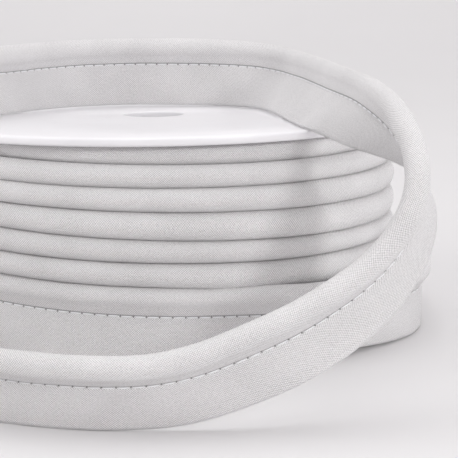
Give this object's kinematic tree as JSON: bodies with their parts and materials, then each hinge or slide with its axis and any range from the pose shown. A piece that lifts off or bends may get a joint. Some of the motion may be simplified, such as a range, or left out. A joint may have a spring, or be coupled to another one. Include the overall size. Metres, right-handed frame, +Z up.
{
  "type": "roll of piping trim on a reel",
  "caption": "Cotton piping tape with a corded edge, wound on a flat two-disc reel, its outer length laid loosely round the reel and over the top disc.",
  "frame": {"origin": "middle of the bounding box on plan, at the height of the reel's underside; the reel's axis stands at X = 10.05 mm, Y = 13.61 mm", "axes": "+Z up along the reel's axis, +Y away from the viewer, +X to the viewer's right"},
  "size_m": [0.1598, 0.1838, 0.0696],
  "materials": {
    "reel_plastic": "smooth white moulded plastic with a soft sheen",
    "piping_cotton": "white bias-cut plain-weave cotton, matt, sewn over a cord"
  },
  "bodies": {
    "root": {"reel_bottom_disc": "reel_plastic", "reel_centre_tube": "reel_plastic", "reel_top_disc": "reel_plastic", "wound_piping": "piping_cotton", "loose_piping": "piping_cotton"}
  },
  "joints": []
}
